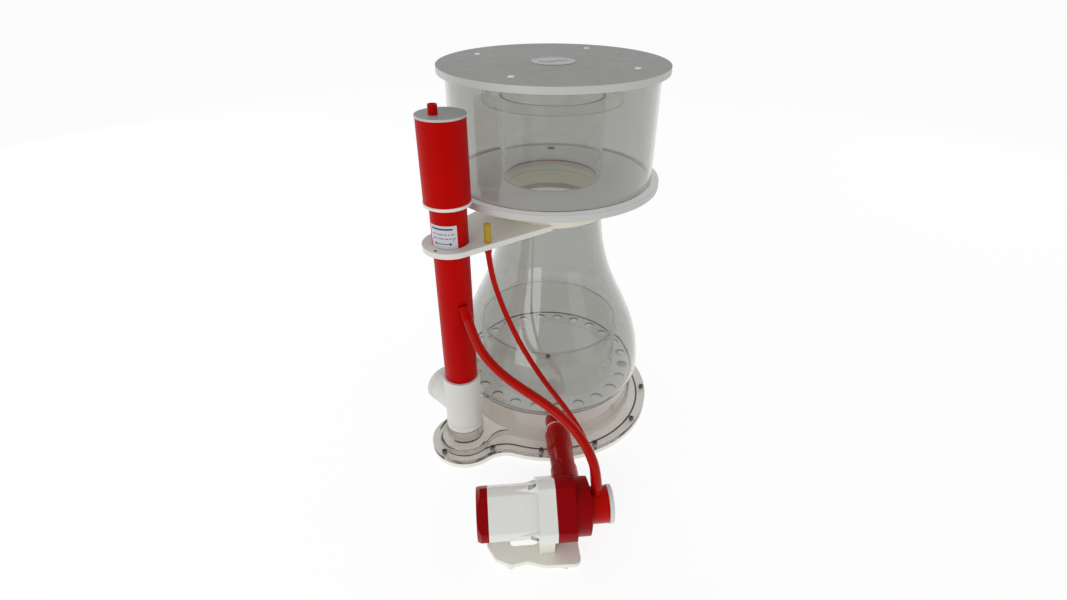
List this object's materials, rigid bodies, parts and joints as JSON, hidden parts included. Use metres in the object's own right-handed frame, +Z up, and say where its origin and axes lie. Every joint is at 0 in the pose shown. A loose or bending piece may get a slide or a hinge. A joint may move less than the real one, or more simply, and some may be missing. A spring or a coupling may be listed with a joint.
{
  "type": "protein skimmer",
  "caption": "Clear cone-bodied protein skimmer with a lift-off collection cup and lid, a red turning outlet riser with air silencer, and a needle-wheel pump in front.",
  "frame": {"origin": "centre of the footprint on the floor, under the rubber feet", "axes": "+Z up along the skimmer body; the pump's shaft lies along X with its suction end at +X; the pump stands on the -Y side, in front of the body"},
  "size_m": [0.392, 0.5564, 0.5934],
  "materials": {
    "clear_acrylic": "polished clear acrylic",
    "frosted_acrylic": "sanded clear acrylic",
    "white_pvc": "machined white PVC",
    "cream_pvc": "cream PVC, turned",
    "white_motor": "moulded white, satin",
    "red_pvc": "extruded red PVC",
    "dark_red_plastic": "moulded dark red",
    "red_silicone": "soft dark red silicone",
    "red_hose": "translucent red silicone",
    "red_seal": "red silicone ring",
    "black_rubber": "black EPDM",
    "clear_rubber": "clear soft bumper",
    "stainless": "stainless steel",
    "white_nylon": "white nylon",
    "yellow_plastic": "yellow cap",
    "black_plastic": "black moulded",
    "label_film": "printed film with a plain turning arrow",
    "badge": null,
    "foam": "open-cell foam",
    "magnet": "ferrite in a plastic skin",
    "ceramic": "ground ceramic",
    "resin": "windings cast in resin",
    "grey_plastic": "moulded grey",
    "white_wheel": "moulded white"
  },
  "bodies": {
    "root": {"lower_chamber": "clear_acrylic", "diffuser_ring": "clear_acrylic", "reaction_body": "clear_acrylic", "outlet_stub": "clear_acrylic", "plate_post": "clear_acrylic", "bubble_plate": "frosted_acrylic", "base_plate": "white_pvc", "riser_bracket": "white_pvc", "outlet_tee": "white_pvc", "suction_ring": "white_pvc", "pump_foot": "white_pvc", "motor_saddle": "white_pvc", "neck_collar": "cream_pvc", "motor_housing": "white_motor", "suction_tube": "red_pvc", "suction_nipples": "red_pvc", "inlet_stub": "red_pvc", "motor_end_cap": "red_pvc", "bracket_nipple": "red_pvc", "volute": "dark_red_plastic", "pressure_sleeve": "red_silicone", "air_hose": "red_hose", "dosing_hose": "red_hose", "base_seal": "black_rubber", "base_feet": "clear_rubber", "pump_pads": "clear_rubber", "flange_screws": "stainless", "plate_screw": "stainless", "pump_screws": "stainless", "bracket_pin": "black_plastic", "cable_gland": "black_plastic", "rotor_bearings": "ceramic", "stator": "resin", "rotor_can": "grey_plastic"},
    "cup": {"cup_floor": "white_pvc", "cup_wall": "clear_acrylic", "cup_neck": "clear_acrylic", "cup_neck_seal": "red_seal", "cup_spigot": "cream_pvc", "spigot_seal": "black_rubber", "drain_nipple": "red_pvc"},
    "lid": {"lid_plate": "white_pvc", "lid_ring": "clear_acrylic", "lid_screws": "white_nylon", "lid_badge": "badge"},
    "riser": {"riser_tube": "red_pvc", "hose_nipple": "red_pvc", "riser_label": "label_film", "silencer_body": "red_pvc", "silencer_base": "white_pvc", "silencer_cap": "white_pvc", "air_nozzle": "red_pvc", "silencer_foam": "foam"},
    "rotor": {"rotor_magnet": "magnet", "rotor_shaft": "ceramic", "needle_wheel": "white_wheel"},
    "plug": {"valve_plug": "yellow_plastic"}
  },
  "joints": [
    {"name": "cup_lift", "type": "slide", "parent": "root", "child": "cup", "axis": [0, 0, 1], "range_m": [0, 0.14]},
    {"name": "lid_lift", "type": "slide", "parent": "cup", "child": "lid", "axis": [0, 0, 1], "range_m": [0, 0.12]},
    {"name": "riser_turn", "type": "hinge", "parent": "root", "child": "riser", "pos_m": [-0.13757, -0.02889, 0.1], "axis": [0, 0, 1], "range_deg": [-45, 45], "deforming": ["air_hose"]},
    {"name": "rotor_spin", "type": "hinge", "parent": "root", "child": "rotor", "pos_m": [-0.0651, -0.2282, 0.071], "axis": [1, 0, 0], "continuous": true},
    {"name": "plug_pull", "type": "slide", "parent": "root", "child": "plug", "axis": [0, 0, 1], "range_m": [0, 0.02]}
  ]
}
